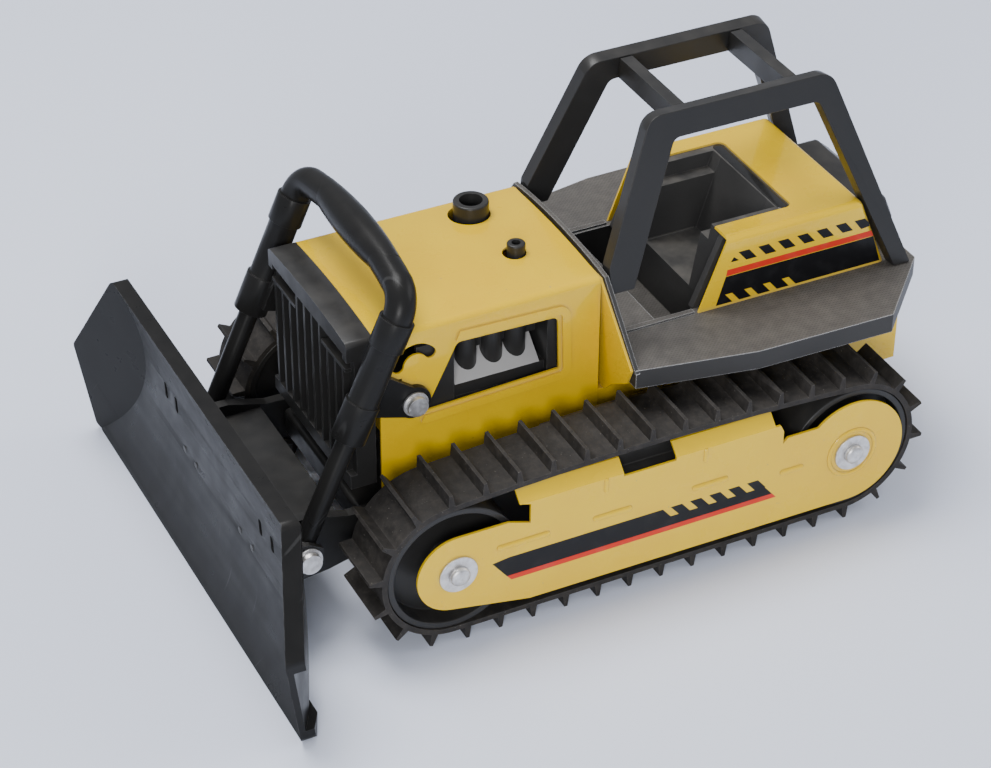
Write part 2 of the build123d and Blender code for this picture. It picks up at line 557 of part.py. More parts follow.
# spacer tubes between the frame and the inner plates, washers and nuts outside
ARM_GAP = 0.4
WASHER_R, WASHER_T = 10.4, 1.3
NUT_R, NUT_T = 5.4, 3.6
face_x = PLATE_X + PLATE_T
with BuildPart() as axle_spacers:
    for sign in SIDES.values():
        for y, start in ((FRONT_AXLE_Y, ARM_X + ARM_T + ARM_GAP), (REAR_AXLE_Y, FRAME_HALF)):
            rod_x(5.5, sign * start, sign * INNER_PLATE_X, y, AXLE_Z)
            rod_x(AXLE_R, sign * (start - 1), sign * (INNER_PLATE_X + 1), y, AXLE_Z, mode=Mode.SUBTRACT)
save(axle_spacers.part, "axle_spacers")

with BuildPart() as hub_washers:
    for sign in SIDES.values():
        for y in axle_places.values():
            rod_x(WASHER_R, sign * face_x, sign * (face_x + WASHER_T), y, AXLE_Z)
            rod_x(AXLE_R, sign * (face_x - 1), sign * (face_x + 3), y, AXLE_Z, mode=Mode.SUBTRACT)
save(hub_washers.part, "hub_washers")

with BuildPart() as hub_nuts:
    for sign in SIDES.values():
        for y in axle_places.values():
            start = face_x + WASHER_T
            rod_x(NUT_R, sign * start, sign * (start + NUT_T), y, AXLE_Z)
            rod_x(AXLE_R, sign * (start - 1), sign * (AXLE_END_X), y, AXLE_Z, mode=Mode.SUBTRACT)
save(hub_nuts.part, "hub_nuts")

# --- push frame: turns on the front axle and carries the blade -----------------
EYE_R = 8.0
ARM_RING_R = 9.0
BLADE_BACK_Y = -172.5
EAR_T = 3.0
EYE_HALF = ROD_R + 0.5
arm_side = [
    (FRONT_AXLE_Y, AXLE_Z + ARM_RING_R), (FRONT_AXLE_Y, AXLE_Z - ARM_RING_R), (-140, 26),
    (BLADE_BACK_Y, 22), (BLADE_BACK_Y, 62), (-150, 62), (-128, 56),
]
with BuildPart() as push_frame:
    for sign in SIDES.values():
        with BuildSketch(Plane.YZ.offset(min(sign * ARM_X, sign * (ARM_X + ARM_T)))):
            outline(*arm_side)
        extrude(amount=ARM_T)
        rod_x(ARM_RING_R, sign * ARM_X, sign * (ARM_X + ARM_T), FRONT_AXLE_Y, AXLE_Z)
        rod_x(AXLE_R + RUN_FIT, sign * (ARM_X - 1), sign * (ARM_X + ARM_T + 1), FRONT_AXLE_Y, AXLE_Z,
              mode=Mode.SUBTRACT)
        # two ears that hold the pin of the lift rod
        for ear_x in (ROD_X - EYE_HALF - ARM_GAP - EAR_T, ROD_X + EYE_HALF + ARM_GAP):
            x0, x1 = sorted((sign * ear_x, sign * (ear_x + EAR_T)))
            with BuildSketch(Plane.YZ.offset(x0)):
                outline((BLADE_BACK_Y, 34), (-156, 40), (-149, 46), (-149, 54), (-156, 58),
                        (BLADE_BACK_Y, 60))
            extrude(amount=EAR_T)
            rod_x(PIN_R, x0 - 1, x1 + 1, EYE_Y, EYE_Z, mode=Mode.SUBTRACT)
        x0, x1 = sorted((sign * ARM_X, sign * (ROD_X + EYE_HALF + ARM_GAP + EAR_T)))
        box(x0, x1, BLADE_BACK_Y, BLADE_BACK_Y + 4, 32, 62)
    box(-ARM_X, ARM_X, BLADE_BACK_Y, BLADE_BACK_Y + 4, 24, 62)
    box(-ARM_X, ARM_X, BLADE_BACK_Y, -132, 52, 55)
    for x in SCREW_X:
        for sign in SIDES.values():
            with Locations(Location((sign * x, BLADE_BACK_Y, SCREW_Z), (90, 0, 0))):
                Cylinder(SCREW_R, 20, mode=Mode.SUBTRACT)
save(push_frame.part, "push_frame")

# --- blade: a concave face with flat wings, a turned-back rim and a thick foot --
BLADE_TOP_Z, BLADE_FOOT_Z = 112.0, 0.3
BLADE_T, RIM_T, FOOT_T = 3.0, 8.5, 7.0
BLADE_REACH = 160.0
blade_corners = [(115, BLADE_TOP_Z), (148, 56), (143.5, BLADE_FOOT_Z)]
face_arc = [(-188, BLADE_TOP_Z + 2), (-176, 56), (-193, BLADE_FOOT_Z - 1)]
wing_top = Vector(115, -187.5, BLADE_TOP_Z)
wing_tip = Vector(148, -201.5, 56)
wing_foot = Vector(143.5, -193.5, 0)
wing_normal = (wing_tip - wing_top).cross(wing_foot - wing_top).normalized()
if wing_normal.Y < 0:
    wing_normal = wing_normal * -1
BOSS_Z = (30.0, 60.0)
SLOT_X = (57.0, 72.0)


def blade_shell(thickness):
    """The blade's sheet at one thickness, cut to its outline."""
    back_arc = [(y + thickness, z) for y, z in face_arc]
    with BuildPart() as wing:
        with BuildSketch(Plane.YZ.offset(80)):
            with BuildLine() as front_space:
                ThreePointArc(*back_arc)
                Polyline(back_arc[2], (-230, back_arc[2][1]), (-230, back_arc[0][1]), back_arc[0])
            make_face(front_space.edges())
        extrude(amount=BLADE_REACH - 80)
        with Locations(Plane(origin=wing_top, z_dir=wing_normal)):
            Box(400, 400, thickness, align=(Align.CENTER, Align.CENTER, Align.MIN), mode=Mode.INTERSECT)
    with BuildPart() as shell:
        with BuildSketch(Plane.YZ.offset(-BLADE_REACH)):
            with BuildLine() as band:
                ThreePointArc(*face_arc)
                Line(face_arc[2], back_arc[2])
                ThreePointArc(*reversed(back_arc))
                Line(back_arc[0], face_arc[0])
            make_face(band.edges())
        extrude(amount=2 * BLADE_REACH)
        for sign in SIDES.values():
            normal = Vector(sign * wing_normal.X, wing_normal.Y, wing_normal.Z)
            corner = Vector(sign * wing_top.X, wing_top.Y, wing_top.Z)
            with Locations(Plane(origin=corner + normal * thickness, z_dir=normal)):
                Box(400, 400, 200, align=(Align.CENTER, Align.CENTER, Align.MIN), mode=Mode.SUBTRACT)
        add(wing.part)
        mirror(wing.part, about=Plane.YZ)
        with BuildSketch(Plane.XZ.offset(150)):
            outline(*both_halves(blade_corners))
            fillet(vertices(), 5)
        extrude(amount=90, mode=Mode.INTERSECT)
    return shell.part


with BuildPart() as blade_rim:
    add(blade_shell(RIM_T))
    with BuildSketch(Plane.XZ.offset(150)):
        outline(*both_halves(blade_corners))
        offset(amount=-3, kind=Kind.INTERSECTION)
    extrude(amount=90, mode=Mode.SUBTRACT)
    box(-200, 200, -240, -100, -5, 50, mode=Mode.SUBTRACT)

with BuildPart() as blade_foot:
    add(blade_shell(FOOT_T))
    box(-200, 200, -240, -100, 9, 120, mode=Mode.SUBTRACT)

with BuildPart() as blade:
    add(blade_shell(BLADE_T))
    add(blade_rim.part)
    add(blade_foot.part)
    for sign in SIDES.values():
        x0, x1 = sorted((sign * (SCREW_X[0] - 7), sign * 76))
        box(x0, x1, -175, BLADE_BACK_Y, *BOSS_Z)
        for x in SCREW_X:
            with Locations(Location((sign * x, BLADE_BACK_Y, SCREW_Z), (90, 0, 0))):
                Cylinder(SCREW_R, 10, mode=Mode.SUBTRACT)
        # pairs of small upright slots
        for x in SLOT_X:
            with BuildSketch(Plane.XZ.offset(170)):
                with Locations((sign * x, 66)):
                    SlotOverall(10, 3.6, rotation=90)
            extrude(amount=20, mode=Mode.SUBTRACT)
save(blade.part, "blade")

# --- screws that hold the blade on the push frame, and the pins of the rods ------
with BuildPart() as blade_screws:
    for sign in SIDES.values():
        for x in SCREW_X:
            with Locations(Location((sign * x, BLADE_BACK_Y - 0.3, SCREW_Z), (90, 0, 0))):
                Cylinder(SCREW_R, 8.6)
            with Locations(Location((sign * x, BLADE_BACK_Y + 5.2, SCREW_Z), (90, 0, 0))):
                Cylinder(4, 2.4)
save(blade_screws.part, "blade_screws")

ear_in = ROD_X - EYE_HALF - ARM_GAP - EAR_T
ear_out = ROD_X + EYE_HALF + ARM_GAP + EAR_T
with BuildPart() as rod_bolts:
    for sign in SIDES.values():
        rod_x(PIN_R, sign * (ear_in - 0.5), sign * (ear_out + 3), EYE_Y, EYE_Z)
        rod_x(7.2, sign * ear_out, sign * (ear_out + 1.2), EYE_Y, EYE_Z)
        rod_x(5.6, sign * (ear_out + 1.2), sign * (ear_out + 4.4), EYE_Y, EYE_Z)
save(rod_bolts.part, "rod_bolts")

# --- lift linkage: handle, barrels hung on the hood, and sliding rods ------------
rod_dir = Vector(0, HANDLE_TOP_Y - EYE_Y, HANDLE_TOP_Z - EYE_Z).normalized()
LOW_COLLAR = (66.0, 87.0)
BARREL_TOP = 118.5
TOP_COLLAR_END = 133.7
SOCKET_START = 112.0
ROD_END = 88.0
CROSSBAR_TOP = 151.6                 # middle of the arched crossbar, measured along the rods
CROSSBAR_R = 290.0
BEND_R = 14.0
GRIP_R, GRIP_HALF = 8.9, 40.0        # the crossbar swells into a thicker grip
COLLAR_R, BARREL_R, TOP_COLLAR_R, TUBE_R, PLUG_R = 8.9, 7.8, 9.0, 7.7, 5.0
LUG_X = (50.4, 53.8)
LUG_R = 9.0
HEAD_R = 6.8


def along_rod(distance):
    return Vector(0, EYE_Y, EYE_Z) + rod_dir * distance


def post(radius, start, stop, sign, mode=Mode.ADD):
    """A cylinder on a lift rod's axis between two distances from its eye."""
    foot = along_rod(start) + Vector(sign * ROD_X, 0, 0)
    with Locations(Plane(origin=foot, x_dir=(1, 0, 0), z_dir=rod_dir)):
        Cylinder(radius, stop - start, align=bottom_up, mode=mode)


for side, sign in SIDES.items():
    with BuildPart() as lift_rod:
        post(ROD_R, 5, ROD_END, sign)
        rod_x(EYE_R, sign * (ROD_X - EYE_HALF), sign * (ROD_X + EYE_HALF), EYE_Y, EYE_Z)
        rod_x(PIN_R + EYE_CLEAR, sign * (ROD_X - 9), sign * (ROD_X + 9), EYE_Y, EYE_Z, mode=Mode.SUBTRACT)
    save(lift_rod.part, f"lift_rod_{side}")

    with BuildPart() as lift_barrel:
        post(COLLAR_R, *LOW_COLLAR, sign)
        post(BARREL_R, LOW_COLLAR[1], BARREL_TOP, sign)
        post(TOP_COLLAR_R, BARREL_TOP, TOP_COLLAR_END, sign)
        x0, x1 = sorted(sign * x for x in LUG_X)
        low, high = along_rod(72), along_rod(100)
        with BuildSketch(Plane.YZ.offset(x0)):
            outline((low.Y, low.Z), (BARREL_PIVOT_Y, BARREL_PIVOT_Z - LUG_R),
                    (BARREL_PIVOT_Y, BARREL_PIVOT_Z + LUG_R), (high.Y, high.Z))
            with Locations((BARREL_PIVOT_Y, BARREL_PIVOT_Z)):
                Circle(LUG_R)
        extrude(amount=x1 - x0)
        post(ROD_R + RUN_FIT, LOW_COLLAR[0] - 1, SOCKET_START, sign, mode=Mode.SUBTRACT)
        post(PLUG_R, SOCKET_START, TOP_COLLAR_END + 1, sign, mode=Mode.SUBTRACT)
        rod_x(PIN_R + RUN_FIT, sign * (LUG_X[0] - 2), sign * (LUG_X[1] + 2), BARREL_PIVOT_Y,
              BARREL_PIVOT_Z, mode=Mode.SUBTRACT)
    save(lift_barrel.part, f"lift_barrel_{side}")

handle_plane = Plane(origin=(0, EYE_Y, EYE_Z), x_dir=(1, 0, 0), z_dir=(0, -rod_dir.Z, rod_dir.Y))
arch_y = CROSSBAR_TOP - CROSSBAR_R
bend_x = ROD_X - BEND_R
bend_y = arch_y + sqrt((CROSSBAR_R - BEND_R) ** 2 - bend_x ** 2)
reach = CROSSBAR_R / (CROSSBAR_R - BEND_R)
arch_end = (bend_x * reach, arch_y + (bend_y - arch_y) * reach)
bend_dir = Vector(1, 1).normalized() * BEND_R
bend_mid = (bend_x + bend_dir.X, bend_y + bend_dir.Y)
with BuildPart() as lift_handle:
    with BuildLine(handle_plane) as bend:
        Line((-ROD_X, TOP_COLLAR_END), (-ROD_X, bend_y))
        ThreePointArc((-ROD_X, bend_y), (-bend_mid[0], bend_mid[1]), (-arch_end[0], arch_end[1]))
        ThreePointArc((-arch_end[0], arch_end[1]), (0, CROSSBAR_TOP), arch_end)
        ThreePointArc(arch_end, bend_mid, (ROD_X, bend_y))
        Line((ROD_X, bend_y), (ROD_X, TOP_COLLAR_END))
    with BuildSketch(Plane(origin=bend.line @ 0, z_dir=bend.line % 0)):
        Circle(TUBE_R)
    sweep()
    with BuildSketch(handle_plane):
        with BuildLine() as grip:
            ThreePointArc((-GRIP_HALF, CROSSBAR_TOP - 1.5 + TUBE_R - 1), (0, CROSSBAR_TOP - 1 + GRIP_R),
                          (GRIP_HALF, CROSSBAR_TOP - 1.5 + TUBE_R - 1))
            Polyline((GRIP_HALF, CROSSBAR_TOP - 1.5 + TUBE_R - 1), (GRIP_HALF, CROSSBAR_TOP - 1.5),
                     (-GRIP_HALF, CROSSBAR_TOP - 1.5), (-GRIP_HALF, CROSSBAR_TOP - 1.5 + TUBE_R - 1))
        make_face(grip.edges())
    grip_axis = along_rod(CROSSBAR_TOP - 1.5)
    revolve(axis=Axis((0, grip_axis.Y, grip_axis.Z), (1, 0, 0)))
    for sign in SIDES.values():
        post(PLUG_R, SOCKET_START, TOP_COLLAR_END + 0.5, sign)
save(lift_handle.part, "lift_handle")

with BuildPart() as pivot_bolts:
    for sign in SIDES.values():
        end = LUG_X[1] + 0.4
        rod_x(PIN_R, sign * (HOOD_HALF - 3), sign * (end + 1), BARREL_PIVOT_Y, BARREL_PIVOT_Z)
        rod_x(HEAD_R, sign * end, sign * (end + 1.2), BARREL_PIVOT_Y, BARREL_PIVOT_Z)
        rod_x(5.4, sign * (end + 1.2), sign * (end + 4.2), BARREL_PIVOT_Y, BARREL_PIVOT_Z)
save(pivot_bolts.part, "pivot_bolts")
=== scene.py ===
import json
from math import cos, pi, radians, sin

import bmesh
import bpy
from mathutils import Matrix, Vector


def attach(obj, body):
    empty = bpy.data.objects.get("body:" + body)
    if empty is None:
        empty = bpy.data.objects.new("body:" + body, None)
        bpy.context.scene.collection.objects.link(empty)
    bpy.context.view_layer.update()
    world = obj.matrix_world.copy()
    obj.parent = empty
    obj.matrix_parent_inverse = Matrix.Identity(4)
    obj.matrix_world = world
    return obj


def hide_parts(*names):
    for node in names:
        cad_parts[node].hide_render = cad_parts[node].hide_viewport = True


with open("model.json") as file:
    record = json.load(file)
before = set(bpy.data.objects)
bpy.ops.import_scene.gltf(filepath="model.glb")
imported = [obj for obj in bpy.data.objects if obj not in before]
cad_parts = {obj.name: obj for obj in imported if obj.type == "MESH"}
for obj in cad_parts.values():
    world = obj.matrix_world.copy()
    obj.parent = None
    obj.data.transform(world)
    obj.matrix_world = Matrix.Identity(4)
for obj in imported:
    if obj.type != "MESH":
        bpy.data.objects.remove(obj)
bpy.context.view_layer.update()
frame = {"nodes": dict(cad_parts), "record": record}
nodes = frame["nodes"]
MM = 0.001
SIDES = {"left": 1, "right": -1}
HATCH_SCALE = 190.0      # wave bands 1.65 mm apart


# --- node materials ----------------------------------------------------------------

class Shader:
    """A material being built: short calls for the nodes that the finishes share."""

    def __init__(self, name):
        self.material = bpy.data.materials.new(name)
        self.material.use_nodes = True
        self.tree = self.material.node_tree
        self.bsdf = self.tree.nodes["Principled BSDF"]
        coords = self.node("ShaderNodeTexCoord")
        self.place = coords.outputs["Object"]

    def node(self, kind, inputs=None, **settings):
        made = self.tree.nodes.new(kind)
        for key, value in settings.items():
            setattr(made, key, value)
        for key, value in (inputs or {}).items():
            self.feed(made.inputs[key], value)
        return made

    def feed(self, socket, value):
        if isinstance(value, bpy.types.NodeSocket):
            self.tree.links.new(value, socket)
        else:
            socket.default_value = value

    def set(self, **values):
        names = {
            "color": "Base Color", "rough": "Roughness", "metal": "Metallic", "coat": "Coat Weight",
            "coat_rough": "Coat Roughness", "specular": "Specular IOR Level", "normal": "Normal",
        }
        for key, value in values.items():
            self.feed(self.bsdf.inputs[names[key]], value)

    def noise(self, scale, detail=3.0, rough=0.5, vector=None):
        return self.node("ShaderNodeTexNoise", {
            "Vector": vector or self.place, "Scale": scale, "Detail": detail, "Roughness": rough,
        }).outputs["Fac"]

    def ramp(self, value, low, high, out_low=0.0, out_high=1.0):
        """A value's range from low to high, spread smoothly over an output range."""
        return self.node("ShaderNodeMapRange", {
            "Value": value, "From Min": low, "From Max": high, "To Min": out_low, "To Max": out_high,
        }, interpolation_type="SMOOTHSTEP").outputs[0]

    def math(self, operation, a, b=0.0):
        return self.node("ShaderNodeMath", {0: a, 1: b}, operation=operation, use_clamp=True).outputs[0]

    def mix(self, factor, a, b):
        made = self.node("ShaderNodeMix", data_type="RGBA", blend_type="MIX")
        for index, value in ((0, factor), (6, a), (7, b)):
            self.feed(made.inputs[index], value)
        return made.outputs[2]

    def edges(self, radius, low=0.02, high=0.25):
        """Where the surface turns sharply within a radius: worn or moulded edges, and the fender's painted
        edge highlight.
        """
        round_normal = self.node("ShaderNodeBevel", {"Radius": radius}, samples=6).outputs[0]
        flat_normal = self.node("ShaderNodeNewGeometry").outputs["Normal"]
        turn = self.node(
            "ShaderNodeVectorMath", {0: round_normal, 1: flat_normal}, operation="DOT_PRODUCT",
        ).outputs["Value"]
        return self.ramp(self.math("SUBTRACT", 1.0, turn), low, high)

    def upward(self, low=0.2, high=0.95):
        """Faces that look up, where dust settles."""
        normal = self.node("ShaderNodeNewGeometry").outputs["Normal"]
        return self.ramp(self.node("ShaderNodeSeparateXYZ", {0: normal}).outputs[2], low, high)

    def occlusion_shade(self, distance, low=0.3, high=0.9):
        """Corners and gaps, found by ambient occlusion: the mask for painted shade."""
        shade = self.node("ShaderNodeAmbientOcclusion", {"Distance": distance}, samples=6).outputs["AO"]
        return self.ramp(shade, low, high, 1.0, 0.0)

    def bump(self, height, distance, strength=1.0, under=None):
        made = self.node("ShaderNodeBump", {"Height": height, "Distance": distance, "Strength": strength})
        if under is not None:
            self.feed(made.inputs["Normal"], under)
        return made.outputs[0]


def grey(value, warm=0.0):
    return (value * (1 + warm), value, value * (1 - warm), 1.0)


def scratches(shader, scale, threshold, turn):
    """Thin scattered scratches along one direction, from noise stretched across them."""
    spun = shader.node("ShaderNodeMapping", {"Vector": shader.place, "Rotation": turn}).outputs[0]
    thin = shader.node("ShaderNodeMapping", {"Vector": spun, "Scale": (1.0, 0.045, 0.045)}).outputs[0]
    return shader.ramp(shader.noise(scale, 2.0, 0.4, thin), threshold, threshold + 0.03)


def paint(name, color, deep, rough=0.24, shade_and_speck_color=(0.30, 0.26, 0.2, 1)):
    """Glossy paint on pressed steel: orange peel, slight mottling, painted shade in the corners."""
    s = Shader(name)
    mottled = s.mix(s.ramp(s.noise(22.0, 4.0), 0.35, 0.7), color, deep)
    # Corners and gaps are darkened towards a brown-grey by ambient occlusion: painted shade.
    corner_shaded = s.mix(s.math("MULTIPLY", s.occlusion_shade(0.0035, 0.35, 0.95), 0.45), mottled, shade_and_speck_color)
    # The same brown-grey in small scattered specks: dirt.
    spots = s.math("MULTIPLY", s.ramp(s.noise(420.0, 3.0), 0.71, 0.75), s.ramp(s.noise(40.0), 0.5, 0.62))
    spotted = s.mix(s.math("MULTIPLY", spots, 0.55), corner_shaded, shade_and_speck_color)
    peel = s.bump(s.noise(520.0, 2.0), 0.00004, 0.3)
    s.set(color=spotted, normal=s.bump(s.noise(26.0, 1.0), 0.001, 0.12, under=peel),
          coat=0.6, coat_rough=0.07, specular=0.2,
          rough=s.ramp(s.noise(60.0, 4.0), 0.3, 0.75, rough, rough + 0.14))
    return s.material


def plastic(name, base, edge, rough, dust=0.12, edge_radius=0.0007, scratch=0.0, specular=0.4):
    """Moulded plastic: paler rubbed edges, dust on top, fine surface texture."""
    s = Shader(name)
    settled = s.math("MULTIPLY", s.upward(), s.ramp(s.noise(90.0, 5.0), 0.2, 0.9))
    clean = s.mix(s.noise(35.0, 3.0), grey(base), grey(base * 1.3, 0.04))
    dusty = s.mix(s.math("MULTIPLY", settled, dust), clean, (0.23, 0.21, 0.18, 1))
    rubbed = s.math("MULTIPLY", s.edges(edge_radius), s.ramp(s.noise(160.0, 3.0), 0.35, 0.65))
    color = s.mix(s.math("MULTIPLY", rubbed, 0.6), dusty, grey(edge))
    if scratch:
        lines = s.math("MAXIMUM", scratches(s, 420.0, 0.72, (0.2, 0.4, 1.1)),
                       scratches(s, 380.0, 0.73, (0.9, 0.1, 2.3)))
        color = s.mix(s.math("MULTIPLY", lines, scratch), color, grey(0.25))
    fine = s.bump(s.noise(900.0, 3.0), 0.00003, 0.5)
    s.set(color=color, normal=s.bump(s.noise(45.0, 2.0), 0.0004, 0.15, under=fine), specular=specular,
          rough=s.ramp(s.noise(70.0, 4.0), 0.3, 0.7, rough, rough + 0.12))
    return s.material


def rubber(name):
    """Dusty moulded rubber: an even brown-grey film of dust, slightly paler cleat edges."""
    s = Shader(name)
    base = s.mix(s.ramp(s.noise(60.0, 5.0), 0.2, 0.85),
                 (0.014, 0.0125, 0.0115, 1), (0.024, 0.0215, 0.0195, 1))
    dusty = s.mix(s.math("MULTIPLY", s.ramp(s.noise(240.0, 6.0, 0.65), 0.3, 0.85), 0.13), base,
                  (0.20, 0.175, 0.15, 1))
    specks = s.ramp(s.noise(900.0, 2.0), 0.71, 0.75)
    specked = s.mix(s.math("MULTIPLY", specks, 0.3), dusty, (0.4, 0.37, 0.33, 1))
    edge_lightened = s.mix(s.math("MULTIPLY", s.edges(0.0008), 0.3), specked, (0.17, 0.16, 0.15, 1))
    s.set(color=edge_lightened, rough=s.ramp(s.noise(120.0, 3.0), 0.3, 0.7, 0.66, 0.85), specular=0.3,
          normal=s.bump(s.noise(700.0, 4.0), 0.00012, 0.6))
    return s.material


def grained(name):
    """Fender plastic with a fine moulded cross-hatch on its flat top, painted shade in its grooves, and a
    painted highlight along the edges, partly rubbed wear.
    """
    s = Shader(name)
    lines = [
        s.node("ShaderNodeTexWave", {
            "Vector": s.node("ShaderNodeMapping", {"Vector": s.place, "Rotation": (0, 0, turn)}).outputs[0],
            "Scale": HATCH_SCALE, "Distortion": 0.6, "Detail": 1.0,
        }).outputs["Fac"]
        for turn in (0.75, -0.75)
    ]
    top = s.upward(0.85, 0.98)
    relief = s.math("MULTIPLY", s.math("MAXIMUM", *lines), top)
    base = s.mix(s.noise(50.0, 4.0), grey(0.022, 0.03), grey(0.034, 0.04))
    dusty = s.mix(s.math("MULTIPLY", s.ramp(s.noise(140.0, 6.0, 0.6), 0.2, 0.85, 0.2, 0.42), top), base,
                  (0.26, 0.235, 0.205, 1))
    # The hatch's low lines on the top are painted dark: painted shade in the grooves.
    painted_groove_shade = s.math("MULTIPLY", s.math("SUBTRACT", 1.0, relief), s.math("MULTIPLY", top, 0.55))
    # A pale grey line along every edge: painted highlight, partly rubbed wear.
    edge_lightened = s.mix(s.math("MULTIPLY", s.edges(0.0009), 0.85), s.mix(painted_groove_shade, dusty, (0.03, 0.028, 0.026, 1)),
                 grey(0.62))
    fine = s.bump(s.noise(900.0, 3.0), 0.00004, 0.5)
    s.set(color=edge_lightened, rough=0.55, specular=0.35, normal=s.bump(relief, 0.0003, 0.8, under=fine))
    return s.material


def metal(name, base=0.62, rough=0.32):
    """Zinc-plated steel, slightly spangled, with dull patches."""
    s = Shader(name)
    patches = s.ramp(s.noise(260.0, 4.0), 0.35, 0.7)
    s.set(color=s.mix(patches, grey(base, 0.01), grey(base * 0.72, 0.03)), metal=0.9,
          rough=s.ramp(s.noise(500.0, 3.0), 0.3, 0.7, rough, rough + 0.2),
          normal=s.bump(s.noise(1100.0, 3.0), 0.00005, 0.5))
    return s.material


def printed(name, color, fading, rough=0.3):
    """A printed film: nearly flat colour with slight fading, rubs and speckle."""
    s = Shader(name)
    faded = s.mix(s.ramp(s.noise(120.0, 5.0), 0.45, 0.85, 0.0, fading), color, grey(0.30))
    s.set(color=faded, rough=rough, specular=0.2, normal=s.bump(s.noise(600.0, 2.0), 0.00003, 0.4))
    return s.material


YELLOW, DEEP_YELLOW = (0.80, 0.515, 0.0, 1), (0.77, 0.475, 0.0, 1)
finishes = {
    "yellow_paint": paint("yellow_paint", YELLOW, DEEP_YELLOW),
    "black_paint": plastic("black_paint", 0.011, 0.08, 0.36, dust=0.06),
    "gloss_black_plastic": plastic("gloss_black_plastic", 0.011, 0.10, 0.27, dust=0.02, scratch=0.08,
                                   specular=0.14),
    "black_plastic": plastic("black_plastic", 0.018, 0.13, 0.30, dust=0.10, specular=0.3),
    "grained_plastic": grained("grained_plastic"),
    "track_rubber": rubber("track_rubber"),
    "silver_plastic": plastic("silver_plastic", 0.34, 0.55, 0.30, dust=0.15),
    "zinc": metal("zinc", 0.72),
}
dull_zinc = metal("dull_zinc", 0.10, 0.4)
dusty_seat = plastic("dusty_seat", 0.030, 0.14, 0.5, dust=0.4)
gloss_strip = plastic("gloss_strip", 0.016, 0.10, 0.12, dust=0.0)
print_black = printed("print_black", (0.006, 0.006, 0.007, 1), 0.03)
print_red = printed("print_red", (0.62, 0.03, 0.012, 1), 0.10)


# --- the CAD nodes keep their shape and get their finish and small edge rounds --------

EDGE_ROUNDS = {
    "blade": 0.9, "cab_tub": 0.7, "seat": 1.6, "rear_block": 4.0, "grille": 0.5, "front_plate": 0.6,
    "roll_hoop": 1.3, "roll_bar": 1.0, "track_belt": 0.45, "track_guide": 0.8,
    "rear_cover": 0.4, "main_frame": 0.4, "engine_block": 1.0, "cylinder_heads": 0.8,
    "lift_barrel": 0.5, "lift_rod": 0.5, "push_frame": 0.7, "wheel": 0.7, "stack": 0.3, "cowl": 0.3,
    "bolts": 0.4, "washers": 0.3, "screws": 0.4,
}
WELD_DISTANCE = 0.000002
SHARP_ANGLE = radians(32)


def rounds_for(name):
    for key, width in EDGE_ROUNDS.items():
        if key in name:
            return width * MM
    return 0.0


def round_edges(obj, width):
    obj.modifiers.new("weld", "WELD").merge_threshold = WELD_DISTANCE
    bevel = obj.modifiers.new("rounds", "BEVEL")
    bevel.width = width
    bevel.segments = 3
    bevel.limit_method = "ANGLE"
    bevel.angle_limit = SHARP_ANGLE
    bevel.harden_normals = True
    bevel.use_clamp_overlap = True


OWN_FINISH = {"blade_screws": dull_zinc, "seat": dusty_seat}
slot_of = {row["node"]: row["material_slot"] for row in frame["record"]["subparts"]}
for name, obj in nodes.items():
    obj.data.materials.clear()
    obj.data.materials.append(OWN_FINISH.get(name, finishes[slot_of[name]]))
    width = rounds_for(name)
    if width:
        round_edges(obj, width)


# --- shapes made here -------------------------------------------------------------------

def piece(name, verts, faces, material, body="chassis", slot=None, smooth=False):
    """A mesh piece in millimetres, riding on a body."""
    mesh = bpy.data.meshes.new(name)
    mesh.from_pydata([tuple(c * MM for c in v) for v in verts], [], faces)
    bm = bmesh.new()
    bm.from_mesh(mesh)
    bmesh.ops.recalc_face_normals(bm, faces=bm.faces)
    bm.to_mesh(mesh)
    bm.free()
    mesh.polygons.foreach_set("use_smooth", [smooth] * len(mesh.polygons))
    obj = bpy.data.objects.new(name, mesh)
    bpy.context.scene.collection.objects.link(obj)
    mesh.materials.append(material)
    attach(obj, body)
    return obj


def slab(outlines, x, thick):
    """Verts and faces of flat plates in the YZ plane, from x outwards along its sign."""
    verts, faces = [], []
    away = thick if x > 0 else -thick
    for points in outlines:
        start, count = len(verts), len(points)
        verts += [(x, y, z) for y, z in points] + [(x + away, y, z) for y, z in points]
        faces.append([start + i for i in range(count)])
        faces.append([start + count + i for i in range(count)])
        for i in range(count):
            j = (i + 1) % count
            faces.append([start + i, start + j, start + count + j, start + count + i])
    return verts, faces


FILM = 0.12
TRACK_FACE_X, COVER_FACE_X = 110.5, 50.0
SLANT = 0.83          # mm back for each mm down, the slope of every printed tooth


def tooth_row(first, pitch, width, count, top, bottom):
    """Slanted four-sided teeth, as (y, z) outlines."""
    lean = (top - bottom) * SLANT
    return [
        [(y, top), (y + width, top), (y + width + lean, bottom), (y + lean, bottom)]
        for y in (first + pitch * i for i in range(count))
    ]


def track_print():
    """Tapered black stripe ending in slanted teeth, with a red stripe under it."""
    top, mid, low, red_low = 46.8, 40.9, 35.2, 32.2
    lean = (mid - low) * SLANT
    stripe = [(-75, 45.6), (-66, top), (21.4, top), (26.2, mid), (81.6, mid), (81.6 + lean, low), (-67, low)]
    teeth = tooth_row(26.0, 11.2, 6.5, 5, top, mid)
    red = [(-67, low), (81.6 + lean, low), (89.0, red_low), (-64.4, red_low)]
    return [stripe] + teeth, [red]


